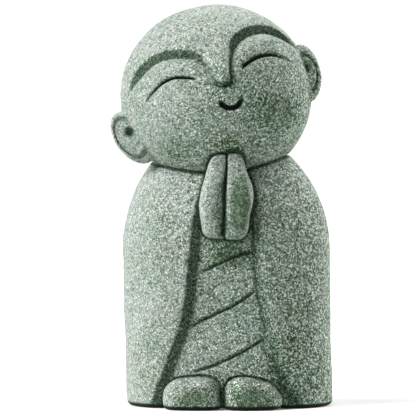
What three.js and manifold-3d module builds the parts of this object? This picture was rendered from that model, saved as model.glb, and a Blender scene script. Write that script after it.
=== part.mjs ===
// A small stone jizo: a round-headed child monk in a plain robe, hands joined, head leaning to one side.
// One solid, carved from one block. Millimetres, +Z up, the face looks along -Y, and the origin is under
// the middle of the figure's length and width, on the flat underside.
import * as THREE from "three";
import { mergeVertices } from "three/addons/utils/BufferGeometryUtils.js";
import Module from "manifold-3d";

const wasm = await Module();
wasm.setup();
const { degToRad, radToDeg, lerp, smoothstep } = THREE.MathUtils;

// ---------- driving dimensions ----------
const ROBE = {
  halfWidth: 46.5,
  halfDepth: 38,
  shoulder: 69.3, // height where the straight sides turn into the dome of the shoulders
  top: 124.5, // height where the dome would close, inside the head
  squareness: 2.4, // exponent of the plan outline: 2 is an ellipse
  taper: 0.006, // how much narrower the foot is than the shoulder line, as a share
  edge: 2.6, // radius round the underside
  lean: 0.027, // sideways lean per unit of height, towards -X
  sway: { by: 0.6, at: 88, over: 18 }, // the right shoulder is a little the fuller
  slope: 0.36, // share of the depth lost at the top of the dome
};
const HEAD = {
  centre: new THREE.Vector3(-6.1, -3.5, 138.9),
  radii: new THREE.Vector3(42.8, 41, 40.6),
  turn: 9, // degrees about +Z
  nod: 2.2, // degrees that the face looks up
  tilt: -14.8, // degrees about the line of sight
};
const OPENING = { leftWall: 3.4, rightWall: 2.7, lip: 0.5, depthHigh: 4, depthLow: 2.8, sink: 12 };
const FACE_MM = 41.5; // length of one radian on the face
const CLEAR = 3; // how far a cutter stands out of the surface that it cuts

// ---------- solids ----------
// A closed geometry as a manifold-3d solid, facing out whichever way its faces run.
function solid(geometry) {
  const bare = new THREE.BufferGeometry();
  bare.setAttribute("position", geometry.getAttribute("position"));
  bare.setIndex(geometry.index);
  const merged = mergeVertices(bare, 1e-3);
  const faces = [];
  for (let i = 0; i < merged.index.count; i += 3) {
    const [a, b, c] = merged.index.array.slice(i, i + 3);
    if (a !== b && b !== c && c !== a) faces.push([a, b, c]);
  }
  const make = (order) =>
    new wasm.Manifold(
      new wasm.Mesh({
        numProp: 3,
        vertProperties: new Float32Array(merged.attributes.position.array),
        triVerts: new Uint32Array(faces.flatMap(order)),
      }),
    );
  const made = make(([a, b, c]) => [a, b, c]);
  return made.volume() > 0 ? made : make(([a, b, c]) => [a, c, b]);
}

// A geometry whose vertices are moved by place(vertex).
function remap(geometry, place) {
  const at = geometry.getAttribute("position");
  const v = new THREE.Vector3();
  for (let i = 0; i < at.count; i++) {
    const p = place(v.fromBufferAttribute(at, i));
    at.setXYZ(i, p.x, p.y, p.z);
  }
  return geometry;
}

// A skin over rings of points, all with the same number of points, and capped at both ends: a cylinder
// whose rows are moved to the rings and whose cap centres are moved to the middle of theirs.
function loft(rings) {
  const around = rings[0].length;
  const rows = rings.length;
  const geometry = new THREE.CylinderGeometry(1, 1, 1, around, rows - 1);
  const at = geometry.getAttribute("position");
  const wall = rows * (around + 1);
  const middle = (ring) =>
    ring.reduce((sum, p) => sum.add(p), new THREE.Vector3()).divideScalar(around);
  for (let i = 0; i < at.count; i++) {
    let p;
    if (i < wall) {
      p = rings[Math.floor(i / (around + 1))][(i % (around + 1)) % around];
    } else {
      const cap = 2 * around + 1;
      const ring = i - wall < cap ? rings[0] : rings[rows - 1];
      const k = (i - wall) % cap;
      p = k < around ? middle(ring) : ring[(k - around) % around];
    }
    at.setXYZ(i, p.x, p.y, p.z);
  }
  return solid(geometry);
}

const steps = (n) => Array.from({ length: n + 1 }, (_, i) => i / n);
const spline = (points) =>
  new THREE.CatmullRomCurve3(points.map(([a, b]) => new THREE.Vector3(a, b, 0)));

// ---------- the robe's surface ----------
// Share of the full plan outline at height z: a slight taper below, an elliptical dome above.
function robeLevel(z) {
  if (z < ROBE.shoulder) return 1 - ROBE.taper * (1 - z / ROBE.shoulder);
  const rise = (z - ROBE.shoulder) / (ROBE.top - ROBE.shoulder);
  return Math.sqrt(Math.max(0, 1 - rise * rise));
}

// Where the middle of the robe is at height z.
function robeMiddle(z) {
  const { by, at, over } = ROBE.sway;
  return by * Math.exp(-(((z - at) / over) ** 2)) - ROBE.lean * z;
}

// Half the depth that the full plan outline has at height z: the dome slopes back more than it narrows.
function robeDepth(z) {
  const rise = Math.max(0, (z - ROBE.shoulder) / (ROBE.top - ROBE.shoulder));
  return ROBE.halfDepth * (1 - ROBE.slope * rise * rise);
}

// A point on the front of the robe, at width u from its middle and height z, sunk by depth.
function robeFront(u, z, depth = 0) {
  const n = ROBE.squareness;
  const rest = robeLevel(z) ** n - Math.abs(u / ROBE.halfWidth) ** n;
  const y = -robeDepth(z) * Math.max(0, rest) ** (1 / n);
  const k = 1 - depth / ROBE.halfDepth;
  const high = z > ROBE.shoulder ? lerp(ROBE.shoulder, z, k) : z;
  return new THREE.Vector3(u * k + robeMiddle(high), y * k, high);
}

// ---------- the head's surface ----------
const headTurn = new THREE.Matrix4()
  .makeRotationZ(degToRad(HEAD.turn))
  .multiply(new THREE.Matrix4().makeRotationX(degToRad(-HEAD.nod)))
  .multiply(new THREE.Matrix4().makeRotationY(degToRad(HEAD.tilt)));

// The unit direction of a longitude and latitude on the face, in degrees from its middle.
function faceDirection(lon, lat) {
  const [a, b] = [degToRad(lon), degToRad(lat)];
  return new THREE.Vector3(
    Math.sin(a) * Math.cos(b),
    -Math.cos(a) * Math.cos(b),
    Math.sin(b),
  ).applyMatrix4(headTurn);
}

// A point on the ball of the head, sunk by depth.
function headPoint(lon, lat, depth = 0) {
  const d = faceDirection(lon, lat);
  const radius = 1 / d.clone().divide(HEAD.radii).length();
  return d.multiplyScalar(radius - depth).add(HEAD.centre);
}

// ---------- carving tools ----------
// A cutter along a stroke. path is a curve in the surface's own chart, surface(a, b, depth) gives the
// point, scale(b) the chart units per millimetre across and along, and section(t) lists the
// [across, depth] corners of the cut at t, from the right of the path to its left.
function strokeCutter({ path, surface, scale, section, count }) {
  const rings = steps(count).map((t) => {
    const at = path.getPoint(t);
    const ahead = path.getTangent(t);
    const [sa, sb] = scale(at.y);
    const along = new THREE.Vector2(ahead.x / sa, ahead.y / sb).normalize();
    const corners = section(t);
    const point = ([across, depth]) =>
      surface(at.x - along.y * across * sa, at.y + along.x * across * sb, depth);
    const outside = [...corners]
      .reverse()
      .map(([across]) => [across, -CLEAR]);
    return [...corners, ...outside].map(point);
  });
  return loft(rings);
}

const faceStroke = (options) =>
  strokeCutter({
    surface: headPoint,
    scale: (lat) => {
      const degree = radToDeg(1 / FACE_MM);
      return [degree / Math.cos(degToRad(lat)), degree];
    },
    ...options,
  });
const robeStroke = (options) =>
  strokeCutter({ surface: robeFront, scale: () => [1, 1], ...options });

// 0 at both ends and 1 between, rising over the shares given.
const swell = (t, rise, fall = rise) =>
  Math.sqrt(smoothstep(t, -0.02, rise) * smoothstep(1 - t, -0.02, fall));

// ---------- the robe ----------
function robeBody() {
  const { edge, shoulder, top, halfDepth } = ROBE;
  const profile = [new THREE.Vector2(0, 0)];
  for (const t of steps(3)) {
    const a = (t * Math.PI) / 2;
    const z = edge * (1 - Math.cos(a));
    const inset = (edge * (1 - Math.sin(a))) / halfDepth;
    profile.push(new THREE.Vector2(robeLevel(z) - inset, z));
  }
  for (const t of steps(3).slice(1)) {
    const z = lerp(edge, shoulder, t);
    profile.push(new THREE.Vector2(robeLevel(z), z));
  }
  for (const t of steps(10).slice(1)) {
    const a = (t * Math.PI) / 2;
    const z = lerp(shoulder, top, Math.sin(a));
    profile.push(new THREE.Vector2(t < 1 ? Math.cos(a) : 0, z));
  }
  const around = 56;
  const body = remap(new THREE.LatheGeometry(profile, around), (v) => {
    const rho = Math.hypot(v.x, v.z);
    if (rho === 0) return new THREE.Vector3(robeMiddle(v.y), 0, v.y);
    const [c, s] = [v.z / rho, v.x / rho];
    const n = ROBE.squareness;
    const k = rho * (Math.abs(c) ** n + Math.abs(s) ** n) ** (-1 / n);
    return new THREE.Vector3(
      ROBE.halfWidth * c * k + robeMiddle(v.y),
      robeDepth(v.y) * s * k,
      v.y,
    );
  });
  return solid(body);
}

// The rims of the opening, from the ground to the neck, as [width, height].
const LEFT_RIM = [
  [-38, -6], [-34.5, 2.6], [-27.3, 20.7], [-19.6, 41], [-16.4, 62], [-13.4, 86], [-8, 103], [-5, 114],
];
const RIGHT_RIM = [
  [38, -6], [33.8, 2.8], [25, 19.6], [20, 44], [17.3, 60], [16.5, 80], [14.5, 97], [11, 114],
];

// The front of the robe is open from the neck to the ground, and what shows inside is sunk.
function robeOpening() {
  const { leftWall, rightWall, lip, depthHigh, depthLow, sink } = OPENING;
  const leftRim = spline(LEFT_RIM);
  const rightRim = spline(RIGHT_RIM);
  const rings = steps(16).map((t) => {
    const left = leftRim.getPoint(t);
    const right = rightRim.getPoint(t);
    const depth = lerp(depthLow, depthHigh, smoothstep(left.y, 0, 60));
    const row = (share, down) => {
      const from = left.x + (down < 0 ? -lip : leftWall);
      const to = right.x + (down < 0 ? lip : -rightWall);
      return robeFront(lerp(from, to, share), lerp(left.y, right.y, share), down);
    };
    const floor = steps(7).map((s) => row(s, depth));
    const lipLeft = row(0, -lip);
    const lipRight = row(1, -lip);
    const outside = steps(7).map((s) => row(1 - s, -sink));
    return [lipLeft, ...floor, lipRight, ...outside];
  });
  return loft(rings);
}

// The laps of the inner robe, three slanting lines.
const LAPS = [
  [[-13.4, 59.1], [-5.9, 62.4], [0.8, 65.1], [7.4, 67.5], [14.2, 69.4]],
  [[-17.4, 35.6], [-13.8, 37.8], [-4.8, 41.6], [4.1, 45.3], [15.6, 52]],
  [[-16, 16.1], [-8, 18.5], [0, 21.5], [8.8, 25.4], [19, 31]],
];
const LAP = { width: 2.2, depth: 1.5 };
function laps() {
  const { width, depth } = LAP;
  const floor = OPENING.depthHigh - 1.2; // no part of the opening's floor is higher than this
  return LAPS.map((points) =>
    robeStroke({
      path: spline(points),
      count: 10,
      section: (t) => {
        const size = swell(t, 0.2, 0.05);
        return [
          [-0.4 * width * size, 0],
          [-0.4 * width * size, floor],
          [0, floor + (depth + 0.8) * size],
          [0.6 * width * size, floor],
          [0.6 * width * size, 0],
        ];
      },
    }),
  );
}

// ---------- hands and feet ----------
// Each hand is a long loaf, broadest below its middle and drawn in towards the fingertips. Its levels are
// shares of its height, from the wrist up, and of its width. The left hand is rounded towards the palm, the
// right one keeps an edge there, and the two touch along a line that slants a little.
const HANDS = [
  {
    side: -1,
    halfWidth: 6.1,
    bottom: 75.4,
    tip: 113.5,
    inner: 1.9,
    levels: [
      [0, 0.7], [0.07, 0.84], [0.14, 0.9], [0.25, 0.96], [0.38, 1], [0.5, 0.96], [0.6, 0.905],
      [0.7, 0.82], [0.8, 0.73], [0.88, 0.65], [0.95, 0.53], [1, 0.38],
    ],
  },
  {
    side: 1,
    halfWidth: 6.1,
    bottom: 75,
    tip: 114.2,
    inner: 5.5,
    levels: [
      [0, 0.68], [0.1, 0.82], [0.2, 0.85], [0.29, 0.88], [0.38, 0.93], [0.48, 0.96], [0.58, 0.92],
      [0.69, 0.8], [0.8, 0.69], [0.9, 0.61], [0.97, 0.5], [1, 0.44],
    ],
  },
];
const PALMS = { low: new THREE.Vector3(0.7, 0, 78), high: new THREE.Vector3(2.6, 0, 112), gap: -0.25 };
const HAND = { halfDepth: 9.6, middle: -33.6, back: 3, squareness: 3, tipSquareness: 4, ends: 8 };

// The superellipse radius in the direction (a, b) for exponent n.
const roundness = (a, b, n) => (Math.abs(a) ** n + Math.abs(b) ** n) ** (-1 / n);

// The width at a share of the height, between the two levels about it.
function levelAt(levels, share) {
  const next = Math.max(1, levels.findIndex(([at]) => at >= share));
  const [[low, from], [high, to]] = [levels[next - 1], levels[next]];
  return lerp(from, to, (share - low) / (high - low));
}

function hand({ side, halfWidth, bottom, tip, inner, levels }) {
  const half = (tip - bottom) / 2;
  const seam = PALMS.high.clone().sub(PALMS.low);
  const shape = remap(new THREE.SphereGeometry(1, 18, 14).rotateX(Math.PI / 2), (v) => {
    const flat = Math.hypot(v.x, v.y);
    const [c, s] = flat > 0 ? [v.x / flat, v.y / flat] : [1, 0];
    const up = THREE.MathUtils.clamp(v.z, -1, 1);
    const share = (1 + up) / 2;
    const width = levelAt(levels, share) * (1 - Math.abs(up) ** HAND.ends) ** (1 / HAND.ends);
    const palmSide = lerp(inner, HAND.tipSquareness, smoothstep(share, 0.55, 0.9));
    const reach = width * roundness(c, s, c * side < 0 ? palmSide : HAND.squareness);
    const z = bottom + half * (1 + up);
    const palm = PALMS.low.x + (seam.x * (z - PALMS.low.z)) / seam.z + robeMiddle(z);
    const middle = palm + side * (halfWidth * width + PALMS.gap);
    return new THREE.Vector3(
      middle + halfWidth * reach * c,
      HAND.middle + HAND.halfDepth * reach * s + HAND.back * up,
      z,
    );
  });
  return solid(shape);
}

// The bare toes of each foot are one loaf: upright where the feet meet, rounder to the outside.
const FEET = [
  { side: -1, outer: 2.2 },
  { side: 1, outer: 1.75 },
];
const FOOT = {
  apart: 13.3,
  offset: -2.3,
  halfWidth: 13.2,
  halfLength: 20,
  front: -44,
  middle: 4, // height of its widest level
  height: 11,
  plan: 3.4, // exponent of its outline from above
  inner: 3.5, // exponent of its outline from the front, towards the other foot
};
function foot({ side, outer }) {
  const shape = remap(new THREE.SphereGeometry(1, 24, 12).rotateX(Math.PI / 2), (v) => {
    const flat = Math.hypot(v.x, v.y);
    const [c, s] = flat > 0 ? [v.x / flat, v.y / flat] : [1, 0];
    const front = lerp(FOOT.inner, outer, smoothstep(c * flat * side, -0.5, 0.4));
    const swelling = roundness(flat, v.z, front);
    const reach = flat * swelling * roundness(c, s, FOOT.plan);
    return new THREE.Vector3(
      FOOT.offset + side * FOOT.apart + FOOT.halfWidth * reach * c,
      FOOT.front + FOOT.halfLength * (1 + reach * s),
      FOOT.middle + FOOT.height * swelling * v.z,
    );
  });
  return solid(shape);
}

// ---------- the head ----------
const NOSE = { lift: 2.6, lat: 8, half: 7, above: 14, below: 5.2 }; // degrees, but for the lift

// How far the nose stands out of the ball of the head.
function noseLift(lon, lat) {
  const across = lon / NOSE.half;
  const along = (lat - NOSE.lat) / (lat > NOSE.lat ? NOSE.above : NOSE.below);
  return NOSE.lift * Math.exp(-(across * across) - along * along);
}

function headBall() {
  const ball = new THREE.SphereGeometry(1, 56, 33).rotateX(Math.PI / 2);
  return solid(
    remap(ball, (v) => {
      const turn = Math.atan2(v.x, -v.y);
      const lon = radToDeg(turn - 0.4 * Math.sin(turn));
      const lat = radToDeg(Math.asin(THREE.MathUtils.clamp(v.z, -1, 1)));
      return headPoint(lon, lat, -noseLift(lon, lat));
    }),
  );
}

// The two halves of a hand-carved face are not quite mirror images: the right brow is a little higher, and
// the right eye is nearer the nose. Both are drawn from their outer end inwards, in degrees out from the
// middle of the face and up.
const FACE_SIDES = [
  {
    side: -1,
    wall: 3.6,
    lid: 1.5,
    brow: [
      [73, 13.5], [67, 19], [60.5, 23.6], [53.8, 27.3], [46.3, 29.9], [38, 30.4], [30, 29.5], [22, 27.5],
      [16, 24.8], [12.3, 20.5], [9.5, 16.3], [7.8, 12.2], [6.8, 8.5], [6, 5.5], [4, 3], [0, 2.2],
    ],
    eye: [
      [57.5, 4.4], [52, 8], [46.4, 11.2], [39.7, 14.2], [33.6, 15.3], [28, 14.7], [22.5, 13], [17.5, 11],
    ],
  },
  {
    side: 1,
    wall: 4.1,
    lid: 2.3,
    brow: [
      [71, 14], [66.5, 19.5], [59, 25.7], [52, 29.5], [44.5, 31.9], [36, 32.4], [28, 31.7], [20.6, 29.4],
      [15.3, 26.3], [11.6, 22.8], [8.8, 18.8], [6.6, 14.2], [5.2, 10], [4.6, 6.5], [3.9, 3.4], [0, 2.2],
    ],
    eye: [
      [51, 7], [46.8, 9.8], [40.6, 12.4], [34.4, 13.9], [28, 14.2], [22.6, 13.6], [17.2, 12], [12.5, 10],
    ],
  },
];
const mirrored = (side, points) => spline(points.map(([lon, lat]) => [side * lon, lat]));

// Brow and side of the nose in one stroke: a broad wall falls from the forehead to a line, and a long
// slope rises from it to the eyelid and the cheek.
const BROW = { depth: 2.5, slope: 6.5 };
const BRIDGE = { wall: 1.4, depth: 1.7, slope: 5.5, underNose: 2.2 };
function browCutter({ side, wall, brow }) {
  return faceStroke({
    path: mirrored(side, brow),
    count: 24,
    section: (t) => {
      const size = smoothstep(t, -0.08, 0.17);
      const bridge = smoothstep(t, 0.47, 0.7);
      const tip = smoothstep(t, 0.87, 1);
      const rise = size * lerp(wall, BRIDGE.wall, bridge);
      const slope = size * lerp(BROW.slope, lerp(BRIDGE.slope, BRIDGE.underNose, tip), bridge);
      const depth = size * lerp(BROW.depth, BRIDGE.depth, bridge);
      const cut = [
        [-side * rise, -0.3],
        [-side * 0.5 * rise, 0.55 * depth],
        [0, depth],
        [side * 0.35 * slope, 0.5 * depth],
        [side * slope, -0.3],
      ];
      return side > 0 ? cut : cut.reverse();
    },
  });
}

const EYE = { below: 0.45, depth: 1.9 };
function eyeCutter({ side, lid, eye }) {
  return faceStroke({
    path: mirrored(side, eye),
    count: 12,
    section: (t) => {
      const size = swell(t, 0.4, 0.14);
      const cut = [
        [-side * lid * size, 0],
        [-side * 0.1 * size, EYE.depth * size],
        [side * EYE.below * size, 0],
      ];
      return side > 0 ? cut : cut.reverse();
    },
  });
}

const MOUTH_LINE = [
  [-6.9, -5], [-5.6, -8.2], [-3.3, -10.4], [-0.3, -11.5], [2.9, -11.2], [5.8, -9.1], [8, -4.4],
];
const MOUTH = { half: 1.4, depth: 2.4 };
function mouth() {
  return faceStroke({
    path: spline(MOUTH_LINE),
    count: 12,
    section: (t) => {
      const size = swell(t, 0.45);
      return [
        [-MOUTH.half * size, 0],
        [0, MOUTH.depth * size],
        [MOUTH.half * size, 0],
      ];
    },
  });
}

// ---------- the ears ----------
// The two ears are not level: the left one sits lower and stands out further. The groove inside the rim is
// at a share of the ear's radius, and the hole is so much above and outside the ear's middle.
const EARS = [
  {
    side: -1,
    lon: 84,
    lat: -12,
    out: 2.7,
    halfHeight: 13.4,
    tilt: -16,
    lean: 8,
    groove: 0.74,
    hole: [3.2, 0.2],
  },
  {
    side: 1,
    lon: 75,
    lat: -1.2,
    out: 0.1,
    halfHeight: 13,
    tilt: 0,
    lean: 2,
    groove: 0.6,
    hole: [2.2, -1],
  },
];
const EAR = { reach: 8, thick: 5, sweep: 32, hole: 2.3, holeSunk: 0.8, bowl: 0.6, groove: 1.4 };
const EAR_ROWS = 14;

// How deep the front of an ear is hollowed at share r of its radius: a bowl, and a groove inside the rim.
function earHollow(r, line) {
  const bowl = EAR.bowl * (1 - smoothstep(r, line - 0.25, line - 0.08));
  return bowl + EAR.groove * Math.exp(-(((r - line) / 0.07) ** 2));
}

function ear({ side, lon, lat, out, halfHeight, tilt, lean, groove, hole }) {
  const outward = faceDirection(side * lon, lat);
  const base = headPoint(side * lon, lat, 2 - out);
  const up = headPoint(side * lon, lat + 5).sub(headPoint(side * lon, lat - 5));
  up.addScaledVector(outward, -up.dot(outward)).normalize();
  up.applyAxisAngle(outward, side * degToRad(tilt));
  const front = new THREE.Vector3().crossVectors(outward, up).multiplyScalar(side).normalize();
  up.applyAxisAngle(front, -side * degToRad(lean));
  outward.applyAxisAngle(front, -side * degToRad(lean));
  const facing = front.clone().multiplyScalar(Math.cos(degToRad(EAR.sweep)));
  facing.addScaledVector(outward, Math.sin(degToRad(EAR.sweep)));
  const reach = new THREE.Vector3().crossVectors(up, facing).multiplyScalar(side).normalize();
  const place = (high, wide, forward) =>
    base
      .clone()
      .addScaledVector(up, high)
      .addScaledVector(reach, wide)
      .addScaledVector(facing, forward);
  const ball = new THREE.SphereGeometry(1, 22, EAR_ROWS);
  // The rows on the side that faces forward, drawn together about the groove.
  const rings = [
    0, 0.16, 0.3, groove - 0.2, groove - 0.08, groove, groove + 0.08, 0.54 + groove / 2, 1,
  ];
  const last = rings.length - 1;
  const shape = remap(ball, (v) => {
    const polar = Math.acos(THREE.MathUtils.clamp(v.y, -1, 1));
    const row = Math.round((polar / Math.PI) * EAR_ROWS);
    const around = Math.atan2(v.x, v.z);
    const inFront = row <= last;
    const behind = (row - last) / (EAR_ROWS - last);
    const r = inFront ? rings[row] : Math.cos((behind * Math.PI) / 2);
    const swelling = EAR.thick * Math.sqrt(Math.max(0, 1 - r * r));
    return place(
      halfHeight * r * Math.cos(around),
      EAR.reach * r * Math.sin(around),
      inFront ? swelling - earHollow(r, groove) : -swelling,
    );
  });
  const drill = new THREE.SphereGeometry(EAR.hole, 12, 8);
  const at = place(...hole, EAR.thick - EAR.holeSunk);
  drill.translate(at.x, at.y, at.z);
  return solid(shape).subtract(solid(drill));
}

// ---------- the whole figure ----------
function figure() {
  let head = headBall();
  for (const face of FACE_SIDES) head = head.subtract(browCutter(face)).subtract(eyeCutter(face));
  head = head.subtract(mouth());
  for (const one of EARS) head = head.add(ear(one));
  let robe = robeBody().subtract(robeOpening());
  for (const lap of laps()) robe = robe.subtract(lap);
  for (const one of HANDS) robe = robe.add(hand(one));
  for (const one of FEET) robe = robe.add(foot(one));
  const ground = new THREE.BoxGeometry(300, 300, 60).translate(0, 0, -30);
  const shells = robe.add(head).subtract(solid(ground)).decompose();
  // The outer skin alone, without the slivers of air sealed in behind the hands.
  return shells.reduce((a, b) => (a.volume() > b.volume() ? a : b));
}

// A solid as a geometry that three.js can draw.
function geometryOf(made) {
  const mesh = made.getMesh();
  const geometry = new THREE.BufferGeometry();
  const at = new Float32Array(mesh.numVert * 3);
  for (let i = 0; i < mesh.numVert; i++) {
    at.set(mesh.vertProperties.subarray(i * mesh.numProp, i * mesh.numProp + 3), i * 3);
  }
  geometry.setAttribute("position", new THREE.BufferAttribute(at, 3));
  geometry.setIndex(new THREE.BufferAttribute(mesh.triVerts, 1));
  geometry.computeBoundingBox();
  const middle = geometry.boundingBox.getCenter(new THREE.Vector3());
  geometry.translate(-middle.x, -middle.y, 0);
  geometry.computeVertexNormals();
  return geometry;
}

const stone = new THREE.MeshStandardMaterial({ color: 0x8c9c8d, roughness: 0.9, metalness: 0 });
const jizo = new THREE.Mesh(geometryOf(figure()), stone);
jizo.name = "jizo_statue";

const part = new THREE.Group();
part.add(jizo);
export default part;
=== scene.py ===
"""A small stone jizo: the carved figure as one fine surface, its granite, and a plain white studio.

The figure is worked out as a field of distances, in millimetres: negative inside the stone. The robe, head,
ears, hands and feet are closed forms, and what was carved into the robe and the face is a depth over their
surface. The field is turned into a mesh, which stands for the CAD solid of the same form and size.
"""

import math

import bpy
import numpy as np
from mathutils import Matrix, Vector


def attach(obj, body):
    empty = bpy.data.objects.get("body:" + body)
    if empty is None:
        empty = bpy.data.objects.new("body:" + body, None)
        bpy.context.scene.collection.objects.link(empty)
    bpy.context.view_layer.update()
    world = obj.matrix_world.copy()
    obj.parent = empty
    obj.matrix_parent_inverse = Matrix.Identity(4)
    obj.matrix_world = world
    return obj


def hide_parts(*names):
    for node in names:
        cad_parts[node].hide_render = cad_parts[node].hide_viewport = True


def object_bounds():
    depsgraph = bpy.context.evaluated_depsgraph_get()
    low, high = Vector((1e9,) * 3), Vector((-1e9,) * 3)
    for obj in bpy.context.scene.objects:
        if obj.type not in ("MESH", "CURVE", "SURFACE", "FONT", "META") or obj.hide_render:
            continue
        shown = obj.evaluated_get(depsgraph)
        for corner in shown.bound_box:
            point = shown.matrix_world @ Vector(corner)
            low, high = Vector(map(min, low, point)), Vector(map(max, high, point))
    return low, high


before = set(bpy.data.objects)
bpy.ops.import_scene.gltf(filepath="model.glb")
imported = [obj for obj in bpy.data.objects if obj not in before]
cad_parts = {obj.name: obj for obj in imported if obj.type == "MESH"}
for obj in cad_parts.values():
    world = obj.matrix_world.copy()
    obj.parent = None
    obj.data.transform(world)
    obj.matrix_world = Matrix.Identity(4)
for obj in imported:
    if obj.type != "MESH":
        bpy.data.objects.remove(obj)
cad_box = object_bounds()

MM = 0.001
GRID = 0.5  # spacing of the grid that the field is sampled on
GRID_LOW, GRID_HIGH = (-55.0, -50.0, -1.25), (51.0, 42.0, 183.0)
SLAB = 12  # levels of the grid that are worked out at a time
FAR = 50.0  # stands for the distance to a form that isn't near
CHART_STEP = 0.2  # spacing of the charts of what is carved: degrees on the face, millimetres on the robe
MAX_TRIANGLES = 190_000

# ---------- driving dimensions ----------
# The forms and the paths of what is carved are the solid's, but for the left ear's hole, which lies nearer
# the head. The sections of the cuts are finer than the solid's.
HALF_WIDTH, HALF_DEPTH = 46.5, 38.0
SHOULDER, ROBE_TOP = 69.3, 124.5
SQUARENESS, TAPER, SLOPE = 2.4, 0.006, 0.36
LEAN, SWAY, SWAY_AT, SWAY_OVER = 0.027, 0.6, 88.0, 18.0
EDGE = 2.6  # radius round the underside

HEAD_CENTRE = np.array([-6.1, -3.5, 138.9])
HEAD_RADII = np.array([42.8, 41.0, 40.6])
HEAD_TURN, HEAD_NOD, HEAD_TILT = 9.0, 2.2, -14.8
FACE_MM = 41.5  # length of one radian on the face
DEGREE = math.radians(FACE_MM)  # length of one degree on the face
FACE_WIDE, FACE_LOW, FACE_HIGH = 79, -29, 49  # degrees that the carving on the face keeps within

NOSE_LIFT, NOSE_LAT, NOSE_HALF, NOSE_ABOVE, NOSE_BELOW = 2.6, 8.0, 7.0, 14.0, 5.2
# A brow with the side of the nose below it, and a closed eye, in degrees out from the middle of the face and
# up. How far the brow's wall and the lid reach up is in millimetres. How dark each cut is, is a share of
# painted shade, greater on the right side, which is turned from the light.
FACE_SIDES = [
    dict(
        side=-1,
        wall=3.6,
        dark=1.12,
        nose_dark=0.75,
        lid=1.5,
        brow=[(73, 13.5), (67, 19), (60.5, 23.6), (53.8, 27.3), (46.3, 29.9), (38, 30.4), (30, 29.5),
              (22, 27.5), (16, 24.8), (12.3, 20.5), (9.5, 16.3), (7.8, 12.2), (6.8, 8.5), (6, 5.5),
              (4, 3), (0, 2.2)],
        eye=[(57.5, 4.4), (52, 8), (46.4, 11.2), (39.7, 14.2), (33.6, 15.3), (28, 14.7), (22.5, 13),
             (17.5, 11)],
    ),
    dict(
        side=1,
        wall=4.1,
        dark=1.26,
        nose_dark=1.4,
        lid=2.3,
        brow=[(71, 14), (66.5, 19.5), (59, 25.7), (52, 29.5), (44.5, 31.9), (36, 32.4), (28, 31.7),
              (20.6, 29.4), (15.3, 26.3), (11.6, 22.8), (8.8, 18.8), (6.6, 14.2), (5.2, 10), (4.6, 6.5),
              (3.9, 3.4), (0, 2.2)],
        eye=[(51, 7), (46.8, 9.8), (40.6, 12.4), (34.4, 13.9), (28, 14.2), (22.6, 13.6), (17.2, 12),
             (12.5, 10)],
    ),
]
BROW_DEPTH, NOSE_DEPTH, EYE_DEPTH, MOUTH_DEPTH = 2.5, 1.7, 1.9, 2.4
# The last is the painted shade under the nose's tip.
NOSE_WALL, LID_SLOPE, NOSE_SLOPE, TIP_SLOPE, TIP_DARK = 1.4, 6.5, 5.0, 2.0, 1.3
EYE_BELOW, MOUTH_ABOVE, MOUTH_BELOW = 0.45, 1.5, 1.3
# The mouth's line, in the same degrees.
MOUTH = [(-6.9, -5), (-5.6, -8.2), (-3.3, -10.4), (-0.3, -11.5), (2.9, -11.2), (5.8, -9.1), (8, -4.4)]

LEFT_RIM = [(-38, -6), (-34.5, 2.6), (-27.3, 20.7), (-19.6, 41), (-16.4, 62), (-13.4, 86), (-8, 103),
            (-5, 114)]
RIGHT_RIM = [(38, -6), (33.8, 2.8), (25, 19.6), (20, 44), (17.3, 60), (16.5, 80), (14.5, 97), (11, 114)]
LEFT_WALL, RIGHT_WALL = 3.4, 2.7
RIGHT_WALL_LOW = 2.4  # times as broad low down, where it is a soft hollow
OPENING_HIGH, OPENING_LOW = 4.0, 2.8
LAPS = [
    [(-13.4, 59.1), (-5.9, 62.4), (0.8, 65.1), (7.4, 67.5), (14.2, 69.4)],
    [(-17.4, 35.6), (-13.8, 37.8), (-4.8, 41.6), (4.1, 45.3), (15.6, 52)],
    [(-16, 16.1), (-8, 18.5), (0, 21.5), (8.8, 25.4), (19, 31)],
]
LAP_DEPTH, LAP_ABOVE, LAP_BELOW = 1.3, 1.9, 0.5
SCRATCHES = [
    [(-8.1, 47.9), (-4.9, 53.6), (0.6, 56.6)],
    [(-16.8, 91.5), (-15.1, 90.9), (-11.5, 93.7)],
]
SCRATCH_DEPTH, SCRATCH_HALF = 0.5, 0.55

# Each hand's levels are shares of its height, from the wrist to the fingertips, and of its width there.
HANDS = [
    dict(side=-1, half_width=6.1, bottom=75.4, tip=113.5, inner=1.9, levels=[
        (0, 0.7), (0.07, 0.84), (0.14, 0.9), (0.25, 0.96), (0.38, 1), (0.5, 0.96), (0.6, 0.905),
        (0.7, 0.82), (0.8, 0.73), (0.88, 0.65), (0.95, 0.53), (1, 0.38)]),
    dict(side=1, half_width=6.1, bottom=75.0, tip=114.2, inner=5.5, levels=[
        (0, 0.68), (0.1, 0.82), (0.2, 0.85), (0.29, 0.88), (0.38, 0.93), (0.48, 0.96), (0.58, 0.92),
        (0.69, 0.8), (0.8, 0.69), (0.9, 0.61), (0.97, 0.5), (1, 0.44)]),
]
PALM_LOW, PALM_HIGH, PALM_GAP = (0.7, 78.0), (2.6, 112.0), -0.25  # across and up, at the seam's two ends
HAND_HALF_DEPTH, HAND_MIDDLE, HAND_BACK, HAND_SQUARENESS, HAND_END = 9.6, -33.6, 3.0, 3.0, 2.4
TIP_SQUARENESS = 4.0

FEET = [dict(side=-1, outer=2.2), dict(side=1, outer=1.75)]
FOOT_APART, FOOT_OFFSET = 13.3, -2.3
FOOT_HALF_WIDTH, FOOT_HALF_LENGTH, FOOT_FRONT = 13.2, 20.0, -44.0
FOOT_MIDDLE, FOOT_HEIGHT, FOOT_PLAN, FOOT_INNER = 4.0, 11.0, 3.4, 3.5

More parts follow.
